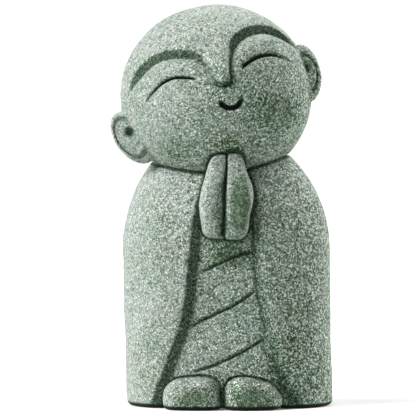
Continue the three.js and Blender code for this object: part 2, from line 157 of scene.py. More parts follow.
# Where each ear sits on the head and how it is turned, in degrees. The groove inside the rim is at a share of
# the ear's radius, the hole is so much above and outside the middle, and the join to the head is rounded.
EARS = [
    dict(side=-1, lon=84, lat=-12.0, out=2.7, half_height=13.4, tilt=-16, lean=8,
         groove=0.74, hole=(1.9, -2.1), join=2.6),
    dict(side=1, lon=75, lat=-1.2, out=0.1, half_height=13.0, tilt=0, lean=2,
         groove=0.6, hole=(2.2, -1.0), join=0.9),
]
EAR_REACH, EAR_THICK, EAR_SWEEP, EAR_HOLE, EAR_HOLE_SUNK = 8.0, 5.0, 32.0, 2.3, 0.8
EAR_BOWL, EAR_GROOVE = 0.6, 1.4

# How far each join is worked in, as the radius of its groove.
NECK_GROOVE, HAND_GROOVE, SEAM_GROOVE, FOOT_GROOVE, TOE_GROOVE = 0.75, 0.45, 0.25, 0.6, 0.3

# Where each form is worked out: its levels, and how far from the middle and the front or from its own middle.
ROBE_UNDER, HEAD_OVER, EAR_AROUND = 126, 88, 22
PALMS_OVER, PALMS_UNDER, PALMS_WITHIN, PALMS_BEFORE = 70, 118, 20, -15
FEET_UNDER, FEET_WITHIN, FEET_BEFORE = 22, 36, 4

# ---------- surface and light ----------
FULL_HEIGHT, WIDE_MIDDLE, WIDE_HALF = 180.0, -5.0, 50.0  # what the material's height and aside are shares of

# Waves of a surface dressed by hand: height, shortest and longest length, and how many.
WAVES_OF = [(0.10, 16, 34, 7), (0.035, 5, 9, 9)]
HANDWORK = 0.6  # share of the waves' height that is left

# Green film and dirt that rain has left on the front, with painted shade in some of the same patches: under
# the chin, below, between and right of the hands, and on the shaded right. Across, up, half width, half
# height, share.
FILM_AND_SHADE = [
    (5.6, 90, 5.2, 14, 2.8), (1, 68, 13, 7, 1.6), (30, 28, 13, 28, 1.0), (27, 62, 10, 16, 0.6),
    (-15, 5, 10, 6, 1.8), (11, 5, 12, 7, 2.0), (21, 131, 14, 12, 1.5), (-3, 84, 4, 9, 1.2),
    (0, 117, 14, 4.5, 1.1), (-34, 20, 9, 22, 0.9), (-22, 113, 12, 8, 1.2), (-40, 140, 7, 20, 0.8),
    (-30, 70, 12, 25, 0.6), (0, 143, 5, 9, 0.6), (-2.5, 13, 5, 4, 1.0), (-1.5, 81, 3.5, 7, 1.5),
]

# The colours of the stone, as 8-bit display values.
GREY_FELSPAR, GREEN_FELSPAR, BLOTCH = (146, 152, 146), (125, 141, 127), (102, 120, 104)
FINE_DARK, FINE_PALE = (84, 104, 88), (186, 192, 184)
DARK_GRAIN, SMALL_DARK_GRAIN = (58, 80, 62), (52, 70, 55)
PALE_GRAIN, SMALL_PALE_GRAIN = (198, 203, 195), (232, 235, 229)
# The first is partly painted shade; the second is near-black painted shadow, at the foot of the stone and in
# the darkest cuts.
THICK_FILM_AND_SHADE, PAINTED_BLACK_SHADOW = (78, 99, 78), (5, 8, 6)

# What each layer leaves of the red, green and blue of the stone under it.
# The first lightens the crown as painted light.
# The second darkens the stone with painted shade and dirt.
CROWN_LIGHT, SHADED_AND_DIRTY = (1.5, 1.5, 1.5), (0.18, 0.27, 0.19)
# The film's tints here stand partly for painted shade.
UNDER_FILM_AND_SHADE, UNDER_CLUMPS, UNDER_THICK_FILM_AND_SHADE = (0.70, 0.83, 0.60), (0.36, 0.44, 0.38), (0.44, 0.53, 0.44)
COOLER, WARMER = (0.95, 1.01, 1.025), (1.005, 1.01, 1.0)
MIDDLE_GREY = 0.36  # what the contrast of the stone turns about

SPECULAR = 0.2
RELIEF, RELIEF_HEIGHT = 0.7, 0.00022

WORLD_BELOW, WORLD_ABOVE, WORLD_SEEN = 1.05, 0.05, 1.05
WORLD_TINT, LIGHT_TINT = (0.93, 1, 0.94, 1), (1, 0.965, 0.98)
LIGHTS = [("key", 292, 42, 4.0), ("side", 268, 12, 2.0), ("rim", 127, 36, 4.0)]
LIGHT_SPREAD = 50


# ---------- helpers ----------
def smoothstep(x, low, high):
    t = np.clip((x - low) / (high - low), 0, 1)
    return t * t * (3 - 2 * t)


def lerp(a, b, t):
    return a + (b - a) * t


def swell(t, rise, fall=None):
    """0 at both ends and 1 between, rising over the shares given."""
    fall = rise if fall is None else fall
    return np.sqrt(smoothstep(t, -0.02, rise) * smoothstep(1 - t, -0.02, fall))


def smooth_min(a, b, k):
    """The lower of two distances, with their meeting rounded over k millimetres."""
    h = np.clip(0.5 + 0.5 * (b - a) / k, 0, 1)
    return lerp(b, a, h) - k * h * (1 - h)


def smooth_max(a, b, k):
    return -smooth_min(-a, -b, k)


def above_zero(t, soft):
    """t where it is above 0 and 0 elsewhere, with the corner rounded."""
    return 0.5 * (t + np.sqrt(t * t + soft * soft))


def ramp(t, soft):
    """From 0 to 1 as t does, with both corners rounded."""
    return above_zero(t, soft) - above_zero(t - 1, soft)


def norm(a, b, power):
    return (np.abs(a) ** power + np.abs(b) ** power) ** (1 / power)


def unit(v):
    return v / np.linalg.norm(v)


def groove(a, b, radius, soft=0.3):
    """Two solids joined, with a narrow line worked in along their meeting."""
    return smooth_max(np.minimum(a, b), radius - np.hypot(a, b), soft)


def spline(points, count):
    """Points along a centripetal Catmull-Rom curve, and the share of the curve at each."""
    p = np.array(points, float)
    p = np.vstack([2 * p[0] - p[1], p, 2 * p[-1] - p[-2]])
    spans = len(points) - 1
    t = np.linspace(0, 1, count)
    i = np.minimum((t * spans).astype(int), spans - 1)
    w = (t * spans - i)[:, None]
    p0, p1, p2, p3 = p[i], p[i + 1], p[i + 2], p[i + 3]
    d0, d1, d2 = (np.sum((b - a) ** 2, 1, keepdims=True) ** 0.25 for a, b in ((p0, p1), (p1, p2), (p2, p3)))
    m1 = ((p1 - p0) / d0 - (p2 - p0) / (d0 + d1) + (p2 - p1) / d1) * d1
    m2 = ((p2 - p1) / d1 - (p3 - p1) / (d1 + d2) + (p3 - p2) / d2) * d1
    at = (2 * w**3 - 3 * w**2 + 1) * p1 + (w**3 - 2 * w**2 + w) * m1
    return at + (3 * w**2 - 2 * w**3) * p2 + (w**3 - w**2) * m2, t


class Chart:
    """A map of depths, and of painted shade with dirt, over a surface with two coordinates, looked up between
    its samples.
    """

    def __init__(self, low, high, step):
        self.low, self.step = np.array(low, float), step
        self.a = np.arange(low[0], high[0] + step, step)
        self.b = np.arange(low[1], high[1] + step, step)
        self.depth = np.zeros((len(self.a), len(self.b)))
        self.cut_shade_and_dirt = np.zeros_like(self.depth)

    def darken(self, where, amount):
        self.cut_shade_and_dirt[where] = np.maximum(self.cut_shade_and_dirt[where], amount)

    def near(self, points, t, scale, reach):
        """For the samples within reach of a path: their rows and columns, the share of the path at the
        nearest point, and the millimetres across it, to its left, and past its ends."""
        per_a, per_b = scale
        margin = reach / np.array([per_a.min(), per_b])
        lo, hi = points.min(0) - margin, points.max(0) + margin
        ia = np.nonzero((self.a >= lo[0]) & (self.a <= hi[0]))[0]
        ib = np.nonzero((self.b >= lo[1]) & (self.b <= hi[1]))[0]
        best = np.full((len(ia), len(ib)), np.inf)
        nearest = np.zeros((len(ia), len(ib)), int)
        a, b = self.a[ia][:, None], self.b[ib][None, :]
        for k, (pa, pb) in enumerate(points):
            d = ((a - pa) * per_a[k]) ** 2 + ((b - pb) * per_b) ** 2
            closer = d < best
            best[closer] = d[closer]
            nearest[closer] = k
        ahead = np.gradient(points, axis=0) * np.column_stack([per_a, np.full(len(points), per_b)])
        ahead /= np.linalg.norm(ahead, axis=1, keepdims=True)
        da = (a - points[nearest, 0]) * per_a[nearest]
        db = (b - points[nearest, 1]) * per_b
        ta, tb = ahead[nearest, 0], ahead[nearest, 1]
        across = da * -tb + db * ta
        past = np.abs(da * ta + db * tb)
        inner = (nearest > 0) & (nearest < len(points) - 1)
        return np.ix_(ia, ib), t[nearest], across, np.where(inner, 0, past)

    def look_up(self, a, b, layer="depth"):
        fa = np.clip((a - self.low[0]) / self.step, 0, len(self.a) - 1.001)
        fb = np.clip((b - self.low[1]) / self.step, 0, len(self.b) - 1.001)
        i, j = fa.astype(np.int32), fb.astype(np.int32)
        u, v = fa - i, fb - j
        d = getattr(self, layer)
        return lerp(lerp(d[i, j], d[i + 1, j], u), lerp(d[i, j + 1], d[i + 1, j + 1], u), v)


# ---------- what is carved into the face ----------
def face_scale(points):
    """Millimetres to a degree of longitude, at each point, and to a degree of latitude."""
    return DEGREE * np.cos(np.radians(points[:, 1])), DEGREE


def carve_brow(chart, face):
    """Brow and side of the nose in one stroke. The wall falls from the forehead, or from the nose, to a line,
    and the lid or the cheek rises from it in a full curve. The wall, the side of the nose and the underside
    of its tip are given painted shade."""
    side = face["side"]
    points, t = spline([(side * lon, lat) for lon, lat in face["brow"]], 300)
    where, t, across, past = chart.near(points, t, face_scale(points), 8)
    up = -side * across
    size, bridge, tip = smoothstep(t, -0.08, 0.17), smoothstep(t, 0.47, 0.7), smoothstep(t, 0.87, 1)
    wall = size * lerp(face["wall"], NOSE_WALL, bridge) + 1e-3
    beside_nose = lerp(NOSE_SLOPE, TIP_SLOPE, smoothstep(t, 0.7, 0.95))
    slope = size * lerp(LID_SLOPE, beside_nose, bridge) + 1e-3
    depth = size * lerp(BROW_DEPTH, NOSE_DEPTH, bridge)
    fall = above_zero(1 - up / wall, 0.16)
    rise = above_zero(1 + up / slope, 0.05) ** 1.8
    cut = depth * np.where(up > 0, fall, rise) * np.clip(1 - past / 1.2, 0, 1)
    cut = np.where(up > 0, np.minimum(cut, depth), cut) - 0.02
    chart.depth[where] = np.maximum(chart.depth[where], cut)
    # Painted shade: a band on the brow's wall, then a fold along the side of the nose and under its tip.
    band = face["dark"] * smoothstep(up / wall, 1.12, 0.85) * smoothstep(up, -0.8, 0.2)
    fold = lerp(face["nose_dark"], TIP_DARK, tip) * smoothstep(up, -0.7, 0.1)
    fold = fold * smoothstep(up, lerp(1.9, 3.2, tip), 0.9)
    dark = lerp(band, fold, smoothstep(t, 0.56, 0.72)) * smoothstep(t, -0.02, 0.08)
    chart.darken(where, dark * (past < 1.2))


def carve_eye(chart, face):
    """A line below a full lid, deepest in the middle of the eye and thin at its outer end, with painted shade
    in it.
    """
    side, lid = face["side"], face["lid"]
    points, t = spline([(side * lon, lat) for lon, lat in face["eye"]], 160)
    where, t, across, past = chart.near(points, t, face_scale(points), 4)
    up = -side * across
    size = swell(t, 0.4, 0.09) + 1e-3
    over = ramp(1 - up / (lid * size), 0.12)
    under = ramp(1 + up / (EYE_BELOW * size), 0.1)
    cut = EYE_DEPTH * size * np.where(up > 0, over, under) * np.clip(1 - past / 0.6, 0, 1)
    chart.depth[where] += np.maximum(cut, 0)
    # Painted shade in the line and on the lid's wall above it.
    line = np.where(up > 0, smoothstep(up, lid * size, 0.5 * lid * size), smoothstep(up, -0.3, 0))
    chart.darken(where, 1.6 * line * size * (past < 0.6))


def carve_mouth(chart):
    points, t = spline(MOUTH, 120)
    where, t, across, past = chart.near(points, t, face_scale(points), 4)
    size = swell(t, 0.14, 0.26) + 1e-3
    over = ramp(1 - across / (MOUTH_ABOVE * size), 0.12)
    under = ramp(1 + across / (MOUTH_BELOW * size), 0.12)
    cut = MOUTH_DEPTH * size * np.where(across > 0, over, under) * np.clip(1 - past / 0.6, 0, 1)
    chart.depth[where] += np.maximum(cut, 0)
    # Painted shade in the mouth's line.
    line = smoothstep(np.abs(across), 1.5 * size, 0.9 * size)
    chart.darken(where, 1.8 * line * size * (past < 0.6))


def carved_face():
    chart = Chart((-80, -30), (80, 50), CHART_STEP)
    for face in FACE_SIDES:
        carve_brow(chart, face)
    for face in FACE_SIDES:
        carve_eye(chart, face)
    carve_mouth(chart)
    return chart


# ---------- what is carved into the robe ----------
def robe_scale(points):
    return np.ones(len(points)), 1.0


def inside_of(rim, chart, side):
    """Millimetres from a rim of the opening towards the opening's middle, over the whole chart."""
    points, t = spline(rim, 200)
    where, _, across, _ = chart.near(points, t, robe_scale(points), 200)
    full = np.full(chart.depth.shape, -99.0)
    full[where] = side * across
    return full


def carve_opening(chart):
    left = inside_of(LEFT_RIM, chart, -1)
    right = inside_of(RIGHT_RIM, chart, 1)
    height = np.broadcast_to(chart.b[None, :], chart.depth.shape)
    deep = lerp(OPENING_LOW, OPENING_HIGH, smoothstep(height, 0, 60))
    foot = RIGHT_WALL * lerp(RIGHT_WALL_LOW, 1.0, smoothstep(height, 8, 40))
    chart.depth = deep * (ramp(left / LEFT_WALL, 0.13) * ramp(right / foot, 0.2))

    # Painted shade on the opening's walls: the left wall, turned from the light, a line at the foot of the
    # right wall, its slope, and a soft hollow low on the right.
    left_dark = smoothstep(left, -0.2, 0.6) * smoothstep(left, LEFT_WALL + 1.4, LEFT_WALL - 0.4)
    line = smoothstep(np.abs(right - foot), 1.6, 0.3) * smoothstep(height, 22, 32)
    slope = smoothstep(right, -0.5, 1) * smoothstep(right, foot + 1, foot)
    slope = slope * lerp(0.7, 0.62, smoothstep(height, 40, 75))
    hollow = smoothstep(np.abs(right - 0.5 * foot), 0.7 * foot, 0.15 * foot) * smoothstep(height, 52, 22)
    right_dark = np.maximum(line, np.maximum(slope, hollow)) * (left > 0)
    chart.cut_shade_and_dirt = 1.12 * np.maximum(left_dark * (right > 0), right_dark)


def carve_lap(chart, path):
    """The edge of a lap: its cloth slopes down to the line from above, and stands straight below it. The line
    and the slope above it get painted shade.
    """
    points, t = spline(path, 160)
    where, t, across, past = chart.near(points, t, robe_scale(points), 5)
    size = swell(t, 0.2, 0.05) + 1e-3
    over = ramp(1 - across / (LAP_ABOVE * size), 0.1) ** 1.5
    under = ramp(1 + across / (LAP_BELOW * size), 0.1)
    cut = LAP_DEPTH * size * np.where(across > 0, over, under) * np.clip(1 - past / 0.8, 0, 1)
    chart.depth[where] += np.maximum(cut, 0)
    # Painted shade on the slope that faces down to the line, and just under it.
    line = np.where(across > 0, smoothstep(across, 1.9, 0.4), smoothstep(across, -0.7, -0.2)) * size
    chart.darken(where, 1.25 * line * (past < 0.8))


def carve_scratch(chart, path):
    points, t = spline(path, 60)
    where, t, across, past = chart.near(points, t, robe_scale(points), 2)
    cut = SCRATCH_DEPTH * swell(t, 0.3) * smoothstep(np.abs(across), SCRATCH_HALF, 0.05) * (past < 0.4)
    chart.depth[where] += cut
    # Painted shade in the scratch, darker where it is deeper.
    chart.darken(where, 1.8 * cut)


def carved_robe():
    chart = Chart((-47, -4), (47, 122), CHART_STEP)
    carve_opening(chart)
    for path in LAPS:
        carve_lap(chart, path)
    for path in SCRATCHES:
        carve_scratch(chart, path)
    return chart


FACE = carved_face()
ROBE_FRONT = carved_robe()


# ---------- the head's own frame ----------
def turning(axis, degrees):
    c, s = math.cos(math.radians(degrees)), math.sin(math.radians(degrees))
    rows = {
        "x": [[1, 0, 0], [0, c, -s], [0, s, c]],
        "y": [[c, 0, s], [0, 1, 0], [-s, 0, c]],
        "z": [[c, -s, 0], [s, c, 0], [0, 0, 1]],
    }
    return np.array(rows[axis])


HEAD_FRAME = turning("z", HEAD_TURN) @ turning("x", -HEAD_NOD) @ turning("y", HEAD_TILT)


def face_direction(lon, lat):
    a, b = math.radians(lon), math.radians(lat)
    return HEAD_FRAME @ np.array([math.sin(a) * math.cos(b), -math.cos(a) * math.cos(b), math.sin(b)])


def head_point(lon, lat, depth):
    d = face_direction(lon, lat)
    return HEAD_CENTRE + d * (1 / np.linalg.norm(d / HEAD_RADII) - depth)


def face_angles(x, y, z):
    """Longitude and latitude on the face, and how far the point is from the middle of the head."""
    px, py, pz = x - HEAD_CENTRE[0], y - HEAD_CENTRE[1], z - HEAD_CENTRE[2]
    reach = np.sqrt(px * px + py * py + pz * pz)
    fx, fy, fz = (px * m[0] + py * m[1] + pz * m[2] for m in HEAD_FRAME.T)
    lat = np.degrees(np.arcsin(np.clip(fz / np.maximum(reach, 1e-3), -1, 1)))
    return np.degrees(np.arctan2(fx, -fy)), lat, reach


def on_face(lon, lat):
    return (np.abs(lon) < FACE_WIDE) & (lat > FACE_LOW) & (lat < FACE_HIGH)


# ---------- the forms, each as a field of distances ----------
def robe_middle(z):
    return SWAY * np.exp(-(((z - SWAY_AT) / SWAY_OVER) ** 2)) - LEAN * z


def robe_chart(x, y, z):
    """Where the robe's surface is nearest: its width and height there, and the distance out to the point."""
    rise = np.maximum(0, (z - SHOULDER) / (ROBE_TOP - SHOULDER))
    level = 1 - TAPER * (1 - np.clip(z, 0, SHOULDER) / SHOULDER)
    u = x - robe_middle(z)
    half_depth = HALF_DEPTH * (1 - SLOPE * np.minimum(rise, 1) ** 2)
    rho = norm(u / (HALF_WIDTH * level), y / (half_depth * level), SQUARENESS)
    g = np.maximum(np.hypot(rho, rise), 1e-3)
    high = np.maximum(0, z - SHOULDER)
    reach = np.sqrt(u * u + y * y + high * high)
    return u / g, np.where(z > SHOULDER, SHOULDER + high / g, z), reach * (1 - 1 / g)


def robe(x, y, z):
    u, height, d = robe_chart(x, y, z)
    d = d + np.where(y < 0, ROBE_FRONT.look_up(u, height), 0)
    over, under = np.maximum(d + EDGE, 0), np.maximum(EDGE - z, 0)
    return np.minimum(np.maximum(d + EDGE, EDGE - z), 0) + np.hypot(over, under) - EDGE


def head_ball(x, y, z):
    lon, lat, reach = face_angles(x, y, z)
    across, along, high = ((p - c) / r for p, c, r in zip((x, y, z), HEAD_CENTRE, HEAD_RADII))
    g = np.sqrt(across * across + along * along + high * high)
    length = np.where(lat > NOSE_LAT, NOSE_ABOVE, NOSE_BELOW)
    nose = NOSE_LIFT * np.exp(-((lon / NOSE_HALF) ** 2) - ((lat - NOSE_LAT) / length) ** 2)
    cut = np.where(on_face(lon, lat), FACE.look_up(lon, lat), 0)
    return reach * (1 - 1 / np.maximum(g, 1e-3)) - nose + cut


def ear_frame(e):
    """The middle of an ear, and its directions: up, away from the head, and the way it faces."""
    side, lat = e["side"], e["lat"]
    lon = side * e["lon"]
    outward = face_direction(lon, lat)
    base = head_point(lon, lat, 2 - e["out"])
    up = head_point(lon, lat + 5, 0) - head_point(lon, lat - 5, 0)
    up = unit(up - outward * (up @ outward))
    front = unit(side * np.cross(outward, up))
    tilt, lean, sweep = (math.radians(a) for a in (e["tilt"], e["lean"], EAR_SWEEP))
    up, front = up * math.cos(tilt) + front * math.sin(tilt), front * math.cos(tilt) - up * math.sin(tilt)
    up, outward = (
        up * math.cos(lean) + outward * math.sin(lean),
        outward * math.cos(lean) - up * math.sin(lean),
    )
    facing = front * math.cos(sweep) + outward * math.sin(sweep)
    return base, up, unit(side * np.cross(up, facing)), facing


def ear_chart(x, y, z, e):
    """How far a point is above, outside and in front of an ear's middle, and its share of the radius."""
    base, *axes = ear_frame(e)
    px, py, pz = x - base[0], y - base[1], z - base[2]
    high, wide, forward = (px * a[0] + py * a[1] + pz * a[2] for a in axes)
    return high, wide, forward, np.hypot(high / e["half_height"], wide / EAR_REACH)


def ear(x, y, z, e):
    high, wide, forward, r = ear_chart(x, y, z, e)
    line = e["groove"]
    bowl = EAR_BOWL * (1 - smoothstep(r, line - 0.25, line - 0.08))
    f = np.where(forward > 0, forward + (bowl + EAR_GROOVE * np.exp(-(((r - line) / 0.07) ** 2))), forward)
    g = np.maximum(np.hypot(r, f / EAR_THICK), 1e-3)
    d = np.sqrt(high * high + wide * wide + f * f) * (1 - 1 / g)
    rise, aside = e["hole"]
    sunk = 0.6 * (forward - EAR_THICK + EAR_HOLE_SUNK)
    hole = np.sqrt((high - rise) ** 2 + (wide - aside) ** 2 + sunk**2)
    return smooth_max(d, EAR_HOLE - hole, 1.4)


def true_distance(form, x, y, z, *args):
    """A form's value over the length of its gradient."""
    step = 0.05
    f = form(x, y, z, *args)
    gx = form(x + step, y, z, *args) - f
    gy = form(x, y + step, z, *args) - f
    gz = form(x, y, z + step, *args) - f
    return f * step / np.maximum(np.sqrt(gx * gx + gy * gy + gz * gz), 1e-4)


for h in HANDS:
    h["curve"] = spline(h["levels"], 200)[0]


def hand_side(x, y, z, h):
    """Below 0 within the outline that a hand has at each level, whatever the level."""
    share = (z - h["bottom"]) / (h["tip"] - h["bottom"])
    width = np.interp(share, h["curve"][:, 0], h["curve"][:, 1])
    palm = PALM_LOW[0] + (PALM_HIGH[0] - PALM_LOW[0]) * (z - PALM_LOW[1]) / (PALM_HIGH[1] - PALM_LOW[1])
    middle = palm + robe_middle(z) + h["side"] * (h["half_width"] * width + PALM_GAP)
    dx = (x - middle) / h["half_width"]
    dy = (y - HAND_MIDDLE - HAND_BACK * (2 * share - 1)) / HAND_HALF_DEPTH
    inner = lerp(h["inner"], TIP_SQUARENESS, smoothstep(share, 0.55, 0.9))
    return norm(dx, dy, np.where(dx * h["side"] < 0, inner, HAND_SQUARENESS)) - width


def hand(x, y, z, h):
    ends = np.maximum(h["bottom"] - z, z - h["tip"])
    return smooth_max(true_distance(hand_side, x, y, z, h), ends, HAND_END)


def foot_side(x, y, z, foot):
    """Below 0 within a foot, which is rounder on its outer side."""
    side = foot["side"]
    px = (x - FOOT_OFFSET - side * FOOT_APART) / FOOT_HALF_WIDTH
    py = (y - FOOT_FRONT - FOOT_HALF_LENGTH) / FOOT_HALF_LENGTH
    power = lerp(foot["outer"], FOOT_INNER, smoothstep(px * side, 0.4, -0.5))
    return norm(norm(px, py, FOOT_PLAN), (z - FOOT_MIDDLE) / FOOT_HEIGHT, power) - 1


def foot_form(x, y, z, foot):
    return true_distance(foot_side, x, y, z, foot)


rng = np.random.default_rng(7)
WAVES = [
    (amount, unit(rng.normal(size=3)) * 2 * math.pi / length, rng.uniform(0, 2 * math.pi))
    for amount, low, high, count in WAVES_OF
    for length in rng.uniform(low, high, count)
]


def handwork(x, y, z):
    """The slight unevenness of a surface dressed by hand."""
    return sum(a * np.sin(k[0] * x + k[1] * y + k[2] * z + phase) for a, k, phase in WAVES) * HANDWORK


def figure(x, y, z):
    """The whole figure's field at points whose coordinates are flat arrays. Each form is worked out only near
    where it stands, and is joined to those before it."""

    def within(mask, form, *args):
        out = np.full(x.shape, FAR)
        if mask.any():
            out[mask] = form(x[mask], y[mask], z[mask], *args)
        return out

    d = within(z < ROBE_UNDER, robe)
    palms = (z > PALMS_OVER) & (z < PALMS_UNDER) & (np.abs(x) < PALMS_WITHIN) & (y < PALMS_BEFORE)
    if palms.any():
        left, right = (within(palms, hand, h) for h in HANDS)
        d = groove(d, groove(left, right, SEAM_GROOVE, 0.15), HAND_GROOVE)
    low = (z < FEET_UNDER) & (y < FEET_BEFORE) & (np.abs(x) < FEET_WITHIN)
    if low.any():
        left, right = (within(low, foot_form, foot) for foot in FEET)
        feet = smooth_max(groove(left, right, TOE_GROOVE), -z, 1.6)
        d = groove(d, feet, FOOT_GROOVE)
    high = z > HEAD_OVER
    if high.any():
        head = within(high, head_ball)
        for e in EARS:
            base = head_point(e["side"] * e["lon"], e["lat"], 0)
            near = (x - base[0]) ** 2 + (y - base[1]) ** 2 + (z - base[2]) ** 2 < EAR_AROUND**2
            head = smooth_min(head, within(near, ear, e), e["join"])
        d = groove(d, head, NECK_GROOVE)
    uneven = handwork(x, y, z) * smoothstep(z, 1, 5)
    return np.maximum(d + uneven, -z)


# ---------- the field as a mesh ----------
def sample_field():
    axes = [np.arange(a, b, GRID) for a, b in zip(GRID_LOW, GRID_HIGH)]
    field = np.empty([len(a) for a in axes], np.float32)
    gx, gy = np.meshgrid(axes[0], axes[1], indexing="ij")
    for k0 in range(0, len(axes[2]), SLAB):
        zs = axes[2][k0 : k0 + SLAB]
        shape = (*gx.shape, len(zs))
        x, y = (np.broadcast_to(g[:, :, None], shape).ravel() for g in (gx, gy))
        z = np.broadcast_to(zs[None, None, :], shape).ravel()
        field[:, :, k0 : k0 + SLAB] = figure(x, y, z).reshape(shape)
    return axes, field


def crossings(field, cells, corners):
    """For each cell, the mean of the spots at which the surface crosses its edges, in cells."""
    total, count = np.zeros((len(cells), 3)), np.zeros(len(cells))
    value = {c: field[tuple((cells + c).T)] for c in corners}
    for c in corners:
        for axis in range(3):
            if c[axis]:
                continue
            e = tuple(1 if n == axis else c[n] for n in range(3))
            a, b = value[c], value[e]
            cross = (a < 0) != (b < 0)
            share = np.where(cross, a / np.where(cross, a - b, 1), 0)
            for n in range(3):
                total[:, n] += cross * (c[n] + (share if n == axis else 0))
            count += cross
    return total / count[:, None]


def surface_nets(axes, field):
    """One vertex in each cell that the surface crosses, and one quad round each grid edge that it crosses."""
    inside = field < 0
    filled = np.zeros([n - 1 for n in field.shape], np.uint8)
    corners = [(i, j, k) for i in (0, 1) for j in (0, 1) for k in (0, 1)]
    nx, ny, nz = field.shape
    for i, j, k in corners:
        filled += inside[i : nx - 1 + i, j : ny - 1 + j, k : nz - 1 + k]
    cells = np.argwhere((filled > 0) & (filled < 8))
    number = np.full(filled.shape, -1, np.int32)
    number[tuple(cells.T)] = np.arange(len(cells))
    spot = cells + crossings(field, cells, corners)
    vertices = np.array([a[0] for a in axes]) + spot * GRID
    quads = []
    for axis in range(3):
        u, v = (axis + 1) % 3, (axis + 2) % 3
        first, second = [slice(1, -1)] * 3, [slice(1, -1)] * 3
        first[axis], second[axis] = slice(0, -1), slice(1, None)
        a, b = inside[tuple(first)], inside[tuple(second)]
        edges = np.argwhere(a != b)
        outward = a[tuple(edges.T)]
        base = edges.copy()
        base[:, u] += 1
        base[:, v] += 1

        def cell(du, dv):
            c = base.copy()
            c[:, u] += du
            c[:, v] += dv
            return number[tuple(c.T)]

        quad = np.column_stack([cell(-1, -1), cell(0, -1), cell(0, 0), cell(-1, 0)])
        quad[~outward] = quad[~outward][:, ::-1]
        quads.append(quad)
    return vertices, np.vstack(quads)


def slope_at(p, step=0.08):
    along = [figure(*(p + step * axis).T) - figure(*(p - step * axis).T) for axis in np.eye(3)]
    return np.column_stack(along) / (2 * step)


def settle(vertices):
    """Moves the vertices onto the surface, each by less than half a cell at a time."""
    for _ in range(3):
        value = figure(*vertices.T)
        slope = slope_at(vertices)
        step = slope * (value / np.maximum(np.sum(slope * slope, 1), 0.25))[:, None]
        far = np.maximum(np.linalg.norm(step, axis=1) / (0.35 * GRID), 1)
        vertices = vertices - step / far[:, None]
    return vertices


def mesh_of(name, vertices, faces):
    mesh = bpy.data.meshes.new(name)
    mesh.vertices.add(len(vertices))
    mesh.vertices.foreach_set("co", vertices.astype(np.float32).ravel())
    sides = faces.shape[1]
    mesh.loops.add(faces.size)
    mesh.loops.foreach_set("vertex_index", faces.astype(np.int32).ravel())
    mesh.polygons.add(len(faces))
    mesh.polygons.foreach_set("loop_start", np.arange(0, faces.size, sides, dtype=np.int32))
    mesh.update(calc_edges=True)
    mesh.validate()
    return mesh


def positions(mesh):
    co = np.empty(len(mesh.vertices) * 3, np.float32)
    mesh.vertices.foreach_get("co", co)
    return co.reshape(-1, 3).astype(float)


def thinned(mesh, triangles):
    """The mesh with fewer faces, kept where the form turns most."""
    rough = bpy.data.objects.new("rough", mesh)
    bpy.context.scene.collection.objects.link(rough)
    thin = rough.modifiers.new("thin", "DECIMATE")
    thin.ratio = triangles / (2 * len(mesh.polygons))
    made = bpy.data.meshes.new_from_object(rough.evaluated_get(bpy.context.evaluated_depsgraph_get()))
    bpy.data.objects.remove(rough)
    bpy.data.meshes.remove(mesh)
    made.validate()
    return made


# ---------- what the material reads at each point ----------
def shelter(p, normal):
    """How much of the view outward from each point the stone itself takes, from 0 in the open. This occlusion
    is painted into the colour as shade.
    """
    taken = np.zeros(len(p))
    for reach, share in ((0.7, 0.3), (1.6, 0.3), (3.5, 0.25), (8.0, 0.15)):
        away = p + normal * reach
        room = np.minimum(figure(*away.T), away[:, 2])  # the table shelters the stone as well
        taken += share * np.clip(1 - room / reach, 0, 1)
    return taken


def ear_shade(x, y, z, e):
    """Painted shade along the groove, more so above, and round the hole."""
    high, wide, forward, r = ear_chart(x, y, z, e)
    on_ear = (forward > 0) & (r < 1) & (head_ball(x, y, z) > 0.3)
    line = np.exp(-(((r - e["groove"]) / 0.1) ** 2)) * lerp(0.6, 0.95, smoothstep(high, 0, 8))
    rise, aside = e["hole"]
    return on_ear * np.maximum(line, smoothstep(np.hypot(high - rise, wide - aside), 4.2, 1.5))


def shade_and_dirt_in_cuts(x, y, z):
    """How dark the walls of the cuts are: painted shade, and the dirt that they hold, left rougher than the
    rest.
    """
    lon, lat, _ = face_angles(x, y, z)
    on_head = (np.abs(head_ball(x, y, z)) < 0.6) & on_face(lon, lat)
    on_robe = (np.abs(robe(x, y, z)) < 0.6) & (y < 0)
    u, level, _ = robe_chart(x, y, z)
    layers = [FACE.look_up(lon, lat, "cut_shade_and_dirt") * on_head, ROBE_FRONT.look_up(u, level, "cut_shade_and_dirt") * on_robe]
    return np.max(layers + [ear_shade(x, y, z, e) for e in EARS], axis=0)


def film_and_shade(x, y, z):
    """Where the green film, and the painted shade that is laid with it, lie on the front."""
    total = np.zeros(len(x))
    for across, up, half_width, half_height, share in FILM_AND_SHADE:
        r = np.hypot((x - across) / half_width, (z - up) / half_height)
        total = np.maximum(total, share * smoothstep(r, 1.35, 0.3))
    return total * (y < 5)


